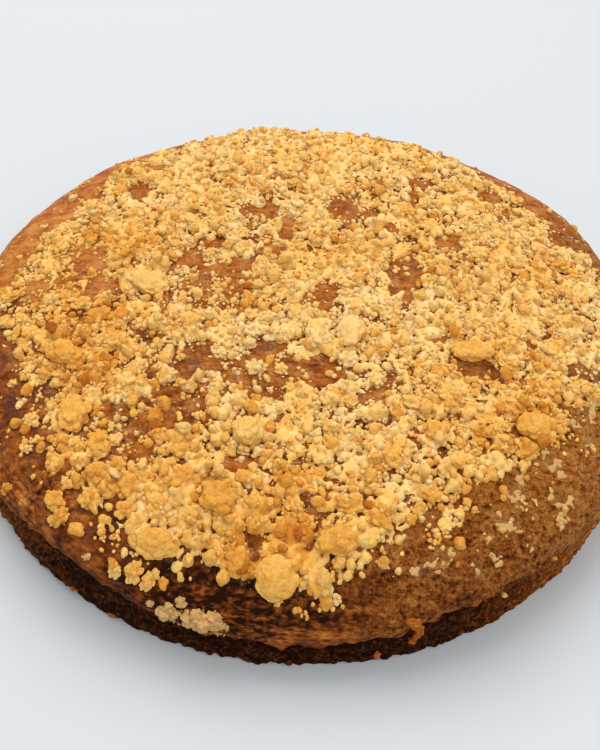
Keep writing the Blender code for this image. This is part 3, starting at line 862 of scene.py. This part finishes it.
clumps = {
    # x, y, half length, half width, height, turn, as in the solids but for the first one's length, then
    # toast and how uneven
    "layout": (
        (-3, -118.5, 7.6, 7, 7.5, 10, 0.42, 0.6), (-16, -70, 6.6, 6.2, 7.5, 40, 0.25, 0.6),
        (4.7, -23, 5, 8, 6.5, 8, 0.1, 0.7), (17, -21.5, 5.8, 8, 6.5, -12, 0.1, 0.7),
        (-75, -66, 6.6, 8.2, 7, 15, 0.45, 0.9), (-84, -40, 7.4, 5.8, 6.5, -20, 0.5, 0.9),
        (80, -57, 7.4, 6.4, 6.5, 0, 0.5, 0.7), (-23, -96, 7.6, 5.6, 6.5, -25, 0.55, 0.9),
        (-41, -110, 8.2, 5.4, 6.5, -15, 0.45, 0.9), (15, -106, 8, 5.4, 6, 12, 0.5, 0.9),
        (61, -26, 9.8, 5, 5.5, 10, 0.42, 0.6), (-60, -2, 9, 6.4, 5, -30, 0.25, 0.9)),
    "rise": 0.4,  # middle above the crust, as a share of the height
    "look": {"seed": 3, "squares": 22, "grain": 1.7, "depth": 0.6, "topToast": 0.1, "follow": 0.6,
             "lobes": {"number": 40, "out": (0.6, 0.78), "size": (0.16, 0.28), "core": 0.74}},
}


def makeClumps():
    for number, (x, y, length, width, height, turn, toast, uneven) in enumerate(clumps["layout"], 1):
        middle = crustHeight(x, y) + height * clumps["rise"]
        look = dict(clumps["look"], seed=clumps["look"]["seed"] + number, uneven=uneven)
        halves = np.array([[length, width, height * (1 - clumps["rise"])]])
        crumbPiece(f"clump_{number}_baked", look, np.array([[x, y, middle]]), halves, np.array([turn]),
                   np.array([toast]), [f"clump_{number}"])


makeClumps()


# Crumbs up to a hazelnut's size: some placed by the solids' rule, and more listed one by one

crumbs = {
    "seed": 7, "count": 104, "largest": 5.4, "smallest": 2.7, "tries": 24, "space": 0.5,
    "smallFrom": 78, "small": 3.4,  # behind this y the rule allows no larger radius
    "covered": 0.6,  # least cover of crumbs where the rule may place one
    "room": 1.14, "clumpRoom": 1.13,  # radius with lumps, of a crumb and a clump, as a share of it
    "flat": 0.78, "rise": 0.45, "shrink": 0.94,  # height, middle above the crust, size, as shares
    # x, y, half length, half width, toast
    "more": (
        (-15, -114, 6, 5, 0.7), (16, -34, 5, 4.5, 0.1), (-65, -77, 4.5, 4.5, 0.6), (-75, -97, 5, 3.5, 0.62),
        (-79, -43, 5, 4.5, 0.66), (-75, -20, 5, 5.5, 0.66), (-67, -31, 5, 4.5, 0.45),
        (-83, -13, 5, 4.5, 0.45), (46, -64, 5, 5.5, 0.55), (77, -67, 5, 4, 0.62), (67, -74, 5, 5.5, 0.2),
        (9, -77, 4.5, 5.2, 0.2), (18, -93, 6, 4, 0.6), (-35, -89, 6, 5, 0.62), (28, -99, 6, 3.5, 0.62),
        (0, -102, 4, 4, 0.75), (2, 57, 5.5, 5, 0.12), (46, 59, 3.5, 4.8, 0.3), (69, 61, 3.2, 4, 0.35),
        (86, 71, 4.4, 4.2, 0.35), (92, 39, 5, 4.6, 0.15), (100, 31, 5.6, 4, 0.6), (47, 44, 4, 4, 0.3),
        (-26, 24, 4.6, 4, 0.3), (-72, 39, 5.6, 5, 0.4), (-90, 44, 5.6, 6.5, 0.2), (-85, 50, 4, 4, 0.62),
        (-14, -41, 3, 3, 0.3), (-7, -40, 3.4, 3.2, 0.3), (-20, -14, 4, 3.6, 0.25), (-4, -14, 3.5, 4, 0.25),
        (-43, -20, 5, 3.4, 0.3), (-29, -18, 5, 3.6, 0.3), (-60, -51, 5.6, 5, 0.2),
        (-57, -44, 4.8, 4.6, 0.2), (61, -61.2, 3.4, 3.3, 0.92), (32, -75, 5, 5, 0.45),
        (52, -46, 6, 4.5, 0.35), (38, -52, 5, 4, 0.3), (88, -38, 4.6, 4, 0.4), (97, -12, 4, 4.4, 0.4),
        (-52, -92, 6, 5, 0.6), (-62, -88, 4.6, 4.6, 0.6), (44, -88, 5, 4.2, 0.55), (-46, 62, 4.4, 4, 0.25),
        (-34, 84, 4, 3.6, 0.25), (70, 8, 5, 4.2, 0.25), (78, -14, 5.2, 4.4, 0.25), (-97, 18, 4, 4.2, 0.4),
        # along the left front rim
        (-90, -67, 3.5, 3, 0.3), (-88, -78.5, 2.4, 2, 0.3), (-64.5, -80.4, 4.2, 3.8, 0.5),
        (-57, -85, 3.4, 3.8, 0.6), (-64, -96.5, 4.6, 4, 0.5), (-52, -99.4, 4.4, 4, 0.55),
        (-47.2, -89.2, 3, 3.6, 0.6), (-42, -91.5, 3, 3.2, 0.5), (-73, -102, 4.6, 3, 0.6),
        (-48, -104.6, 4.6, 4.4, 0.4), (-35, -95.5, 5.6, 5.2, 0.4), (-47, -117, 3.6, 3.4, 0.45),
        (-42, -119, 4, 2.6, 0.45), (-53, -116.4, 2.8, 2.4, 0.3), (-112, -8.5, 3.7, 3.4, 0.5),
        (-100, -50.6, 2.6, 2, 0.4)),
    "look": {"seed": 5, "squares": 11, "uneven": 1.1, "grain": 1.7, "depth": 0.6, "topToast": 0.22,
             "follow": 0.8, "lobes": {"number": 30, "out": (0.55, 0.78), "size": (0.19, 0.31), "core": 0.66}},
}


def ruledCrumbs():
    # the solids' rule: of several random places the freest, largest crumb first; the crumbs' edge and three
    # bare patches differ from the solids', so most crumbs lie where the solids have them, but not all
    draw = random.Random(crumbs["seed"])
    count, tries = crumbs["count"], crumbs["tries"]
    drawn = np.array([[draw.random(), draw.uniform(-math.pi, math.pi)] for _ in range(count * tries)])
    reach = cake["radius"] * np.sqrt(drawn[:, 0])
    x = (reach * np.cos(drawn[:, 1])).reshape(count, tries)
    y = (reach * np.sin(drawn[:, 1])).reshape(count, tries)
    bare = crumbCover(x, y) < crumbs["covered"]
    layout = np.array(clumps["layout"])
    apart = np.hypot(x[..., None] - layout[:, 0], y[..., None] - layout[:, 1])
    space = (apart - layout[:, 2:4].max(axis=1) * crumbs["clumpRoom"]).min(axis=-1)
    kept = np.empty((0, 3))
    for index in range(count):
        radius = crumbs["largest"] + (crumbs["smallest"] - crumbs["largest"]) * math.sqrt(index / (count - 1))
        free = space[index]
        if len(kept):
            gaps = np.hypot(x[index][:, None] - kept[:, 0], y[index][:, None] - kept[:, 1]) - kept[:, 2]
            free = np.minimum(free, gaps.min(axis=1))
        unfit = bare[index] | ((y[index] > crumbs["smallFrom"]) & (radius > crumbs["small"]))
        free = np.where(unfit, -1, free)
        best = free.argmax()
        if free[best] > radius * crumbs["room"] + crumbs["space"]:
            kept = np.vstack([kept, [x[index, best], y[index, best], radius]])
    return kept


def makeCrumbs():
    kept = ruledCrumbs()
    count = len(kept)
    print(f"{count} crumbs are placed by the solids' rule")
    draw = random.Random(crumbs["seed"] + 1)
    shapes = [[draw.uniform(0.75, 1), draw.uniform(0.7, 0.85), draw.uniform(0, math.pi)] for _ in kept]
    wide, high, turn = np.array(shapes).T
    more = np.array(crumbs["more"])
    x, y = np.concatenate([kept[:, :2], more[:, :2]]).T
    halves = np.concatenate([spaced(kept[:, 2], kept[:, 2] * wide, kept[:, 2] * high),
                             spaced(more[:, 2], more[:, 3], more[:, 2:4].mean(axis=1) * crumbs["flat"])])
    free = np.random.default_rng(15)
    turns = np.concatenate([np.degrees(turn), free.uniform(-40, 40, len(more))])
    ruledToast = toastAt(*kept[:, :2].T) + free.uniform(-0.2, 0.16, count)
    toast = np.concatenate([ruledToast, more[:, 4] * 0.85 - 0.08])
    halves[:, 2] *= crumbs["flat"]
    places = spaced(x, y, crustHeight(x, y) + crumbs["rise"] * halves[:, 2])
    for name, part in (("larger_crumbs", slice(0, count)), ("more_crumbs", slice(count, None))):
        crumbPiece(name, crumbs["look"], places[part], halves[part] * crumbs["shrink"], turns[part],
                   toast[part])


makeCrumbs()


# Small crumbs and fines, scattered on jittered grids

# gap is the grid's step, share sets the chance of a crumb where crumbs lie, heap is the width of denser
# spots; these values hold for all the scatters below, unless they say otherwise
scatterBase = {
    "rim": 0,  # share that is missing at the front and the rear
    "stray": 0,  # chance that is added everywhere, on bare crust too
    "strewn": 0,  # by what share that grows in strewnSpots
    "cluster": 1, "spread": 0, "grain": 1.5, "depth": 0.1, "topToast": 0.04, "follow": 0.6, "squares": 0,
    "lobes": {"number": 3, "out": (0.1, 0.3), "size": (0.6, 0.8), "core": 0.76},
}
scatters = (
    {"name": "crumbs", "seed": 100, "gap": 6.2, "radius": (2.0, 3.4), "share": 0.6, "stray": 0.03,
     "heap": 14, "toast": 0.14, "squares": 5, "grain": 1.6, "depth": 0.5, "topToast": 0.12,
     "lobes": {"number": 10, "out": (0.45, 0.68), "size": (0.26, 0.42), "core": 0.7}},
    {"name": "small_crumbs", "seed": 101, "gap": 3.9, "radius": (1.2, 2.2), "share": 0.5, "stray": 0.12,
     "strewn": 1, "heap": 9, "toast": 0.07, "squares": 3, "grain": 1.6, "depth": 0.25, "topToast": 0.1,
     "lobes": {"number": 6, "out": (0.38, 0.62), "size": (0.34, 0.5), "core": 0.7}},
    {"name": "clustered_crumbs", "seed": 102, "gap": 4.4, "radius": (0.8, 1.35), "share": 0.25,
     "stray": 0.12, "strewn": 2, "rim": 0.3, "cluster": 5, "spread": 1.2, "heap": 8, "toast": 0,
     "squares": 2, "depth": 0.2, "topToast": 0.06,
     "lobes": {"number": 4, "out": (0.3, 0.5), "size": (0.45, 0.6), "core": 0.7}},
    {"name": "grains", "seed": 103, "gap": 2.1, "radius": (0.6, 1.1), "share": 0.4, "stray": 0.05,
     "strewn": 3, "rim": 0.5, "heap": 5, "toast": -0.04},
    {"name": "fine_grains", "seed": 104, "gap": 2.3, "radius": (0.4, 0.8), "share": 0.35, "rim": 0.7,
     "heap": 3, "toast": -0.06},
)

# where more crumbs lie apart on the crust: x, y, half sizes
strewnSpots = ((-72, -80, 20, 12), (-57, -97, 12, 7), (-40, -112, 12, 5), (60, -95, 14, 7))


def makeScatter(look):
    # a jittered grid of places, thinned by the cover, each with one crumb or a cluster of them
    draw = np.random.default_rng(look["seed"])
    steps = np.arange(-128, 128, look["gap"])
    x, y = np.meshgrid(steps, steps)
    x = x.ravel() + draw.uniform(-0.5, 0.5, x.size) * look["gap"]
    y = y.ravel() + draw.uniform(-0.5, 0.5, y.size) * look["gap"]
    inside = np.hypot(x, y) < outline(bearing(x, y)) - 2.5
    x, y = x[inside], y[inside]
    heaps = 0.5 + 0.5 * softNoise(spaced(x, y), look["heap"], look["seed"] + 7)
    covered = raggedCover(x, y) * (1 - look["rim"] * (smoothStep(-30, -90, y) + smoothStep(20, 80, y)))
    chance = look["stray"] * (0.25 + 0.75 * crumbCover(x, y, 0))
    chance = chance * (1 + look["strewn"] * spotSum(x, y, strewnSpots))
    chance = chance + look["share"] * covered * smoothStep(0.1, 0.6, heaps) * 1.3
    kept = draw.random(len(x)) < chance
    tone = look["toast"] + np.repeat(draw.normal(0, 0.15, kept.sum()), look["cluster"])
    x, y = (np.repeat(values[kept], look["cluster"]) for values in (x, y))
    off = draw.normal(0, 1, (2, len(x))) * look["spread"]
    x, y = x + off[0], y + off[1]
    radius = look["radius"][0] + np.ptp(look["radius"]) * draw.random(len(x)) ** 1.5
    radius = np.where(y > 95, radius * 0.8, radius)
    halves = radius[:, None] * draw.uniform(0.72, 1.15, (len(x), 3)) * (1, 1, 0.9)
    lift = np.maximum(0, groundLift(x, y)[0]) + 0.25 * radius
    places = spaced(x, y, crustHeight(x, y)) + crustNormal(x, y) * lift[:, None]
    toast = toastAt(x, y) + tone + draw.normal(0, 0.05, len(x)) - 0.03
    crumbPiece(look["name"], look, places, halves, draw.uniform(0, 360, len(x)), toast, tilt=25)


for look in scatters:
    makeScatter(scatterBase | look)


# Crumbs on the lip and the side, and a patch of pale crumbs on the lip at the front

lipBits = {
    # x, y, z, half sizes, toast
    "layout": (
        (-24.3, -127.4, 21.6, 5, 4.2, 4.2, 0.1), (-29.2, -126.6, 21.4, 3.2, 3.4, 3, 0.1),
        (-21.6, -127, 23.6, 2.8, 3, 2.6, 0.08), (-26.4, -126.6, 23.8, 2.6, 2.8, 2.4, 0.08),
        (-36.7, -125, 21, 3.4, 3, 2.6, 0.14), (-35.2, -124.6, 23.2, 2.4, 2.4, 2.2, 0.12),
        (-33.4, -125.2, 22, 2.4, 2.4, 2, 0.12), (-31.7, -123.6, 25.6, 2.2, 2.2, 2.4, 0.16),
        (-41.6, -123, 22.9, 1.6, 1.6, 1.4, 0.2), (-19.6, -127.6, 20.6, 2.6, 2.4, 2.2, 0.08),
        (-92.3, -91.3, 34, 1.7, 1.7, 1.4, 0.6), (-93.6, -91.6, 31.5, 1.4, 1.4, 1.2, 0.65),
        (-62.7, -112.6, 30, 1.6, 1.4, 1.2, 0.1), (40.4, -124, 24.4, 2.6, 1.8, 1.8, 0.95),
        (42, -123.8, 21.4, 2, 1.7, 1.8, 0.98), (43, -123.4, 18.4, 1.6, 1.6, 1.9, 0.98),
        (42.4, -123.4, 15.4, 1.5, 1.4, 1.9, 1), (41.4, -123.6, 12.6, 1.7, 1.4, 1.3, 1),
        (30.9, -126.4, 6.4, 1.5, 1.2, 1.6, 0.95), (-70, -109.6, 4.6, 1.5, 1.3, 1.3, 0.95),
        (-56.1, -117, 2.6, 1.6, 1.4, 1.2, 0.95), (70, -110, 21.5, 1.2, 1, 1, 0.3),
        (88, -95, 22, 1, 1, 0.9, 0.3), (104, -77, 17, 1.4, 1.2, 1.1, 0.8),
        (-104, -77, 21, 1.3, 1.2, 1.1, 0.8)),
    "paleBelow": 0.25,  # bits with less toast than this are pale
    "look": {"seed": 41, "squares": 14, "grain": 1.3, "depth": 0.6, "topToast": 0.1, "follow": 0,
             "lobes": {"number": 36, "out": (0.58, 0.76), "size": (0.2, 0.32), "core": 0.66}},
}

paleBits = {
    # angle, height, half sizes along and up of each patch
    "patches": (
        (-104.6, 19.5, 6, 2.2), (-101, 18.6, 6, 2), (-98.6, 18.8, 3, 2.2), (-105.5, 21.5, 4, 2.4),
        (-102.5, 21.5, 3, 2), (-100, 21.5, 4.5, 3.4)),
    "density": 1.6,  # crumbs for each square millimetre
    "radius": (0.35, 0.8), "toast": 0.27,
    "look": {"seed": 42, "squares": 3, "grain": 1.3, "depth": 0.3, "topToast": 0, "follow": 0.4,
             "lobes": {"number": 6, "out": (0.35, 0.6), "size": (0.38, 0.58), "core": 0.5}},
}


def onDome(angle, height):
    # the dome's height turned round: the radius at which it has this height
    foot = lipHeight(angle) + cake["lipRoll"]
    share = (1 - np.clip((height - foot) / (cake["crown"] - foot), 0, 1) ** 2) ** (1 / cake["domePower"])
    return atRadius(angle, share * (outline(angle) + cake["lipProud"]), height)


def makeLipCrumbs():
    bits = np.array(lipBits["layout"])
    toast = bits[:, 6]
    crumbPiece("lip_crumbs", lipBits["look"], bits[:, :3], bits[:, 3:6], np.zeros(len(bits)), toast,
               pale=(toast < lipBits["paleBelow"]) * 0.9)


def makePaleCrumbs():
    draw = np.random.default_rng(paleBits["look"]["seed"])
    places = []
    for angle, height, length, width in paleBits["patches"]:
        off = draw.normal(0, 0.5, (2, int(length * width * math.pi * paleBits["density"])))
        places.append(onDome(angle + np.degrees(off[0] * length / cake["radius"]), height + off[1] * width))
    places = np.concatenate(places)
    count = len(places)
    radius = draw.uniform(*paleBits["radius"], count)
    halves = radius[:, None] * draw.uniform(0.8, 1.2, (count, 3)) * (1, 1, 0.7)
    toast = paleBits["toast"] + draw.normal(0, 0.08, count)
    crumbPiece("pale_crumbs", paleBits["look"], places, halves, draw.uniform(0, 360, count), toast,
               pale=np.full(count, 0.9))


makeLipCrumbs()
makePaleCrumbs()


# Floor, light and camera

stage = {
    "floor": "#C3C6C8", "world": "#F4F6F8", "worldStrength": 0.69,
    # place, size in metres, power in watts
    "lights": (((-0.4, 1.0, 2.0), 2.0, 41.0), ((0.7, -1.0, 1.7), 1.2, 14.0)),
    "camera": (-0.000784, -0.282211, 0.303828),
    "right": (0.99727702, 0.05491954, 0.04921775),
    "up": (-0.07373813, 0.73255628, 0.6767008),
    "lens": 48.584,
}


def makeStage():
    bpy.ops.mesh.primitive_plane_add(size=6)
    floor = bpy.context.object
    floor.name = "floor"
    paint = Paint("pale floor")
    floor.data.materials.append(paint.finish({}, {"Base Color": colour(stage["floor"]), "Roughness": 0.7}))
    world = bpy.data.worlds.new("studio")
    bpy.context.scene.world = world
    world.use_nodes = True
    background = world.node_tree.nodes["Background"]
    background.inputs["Color"].default_value = colour(stage["world"])
    background.inputs["Strength"].default_value = stage["worldStrength"]
    for number, (place, size, power) in enumerate(stage["lights"]):
        lamp = bpy.data.lights.new(f"softbox {number}", "AREA")
        lamp.size = size
        lamp.energy = power
        item = bpy.data.objects.new(lamp.name, lamp)
        item.location = place
        item.rotation_euler = (Vector((0, 0, 0.03)) - Vector(place)).to_track_quat("-Z", "Y").to_euler()
        bpy.context.scene.collection.objects.link(item)
    lens = bpy.data.cameras.new("camera")
    lens.lens = stage["lens"]
    lens.sensor_width = 36
    camera = bpy.data.objects.new("camera", lens)
    right, up = Vector(stage["right"]), Vector(stage["up"])
    camera.rotation_euler = Matrix((right, up, right.cross(up))).transposed().to_euler()
    camera.location = stage["camera"]
    bpy.context.scene.collection.objects.link(camera)
    bpy.context.scene.camera = camera
    bpy.context.scene.view_settings.view_transform = "Standard"


makeStage()
print("stage made")
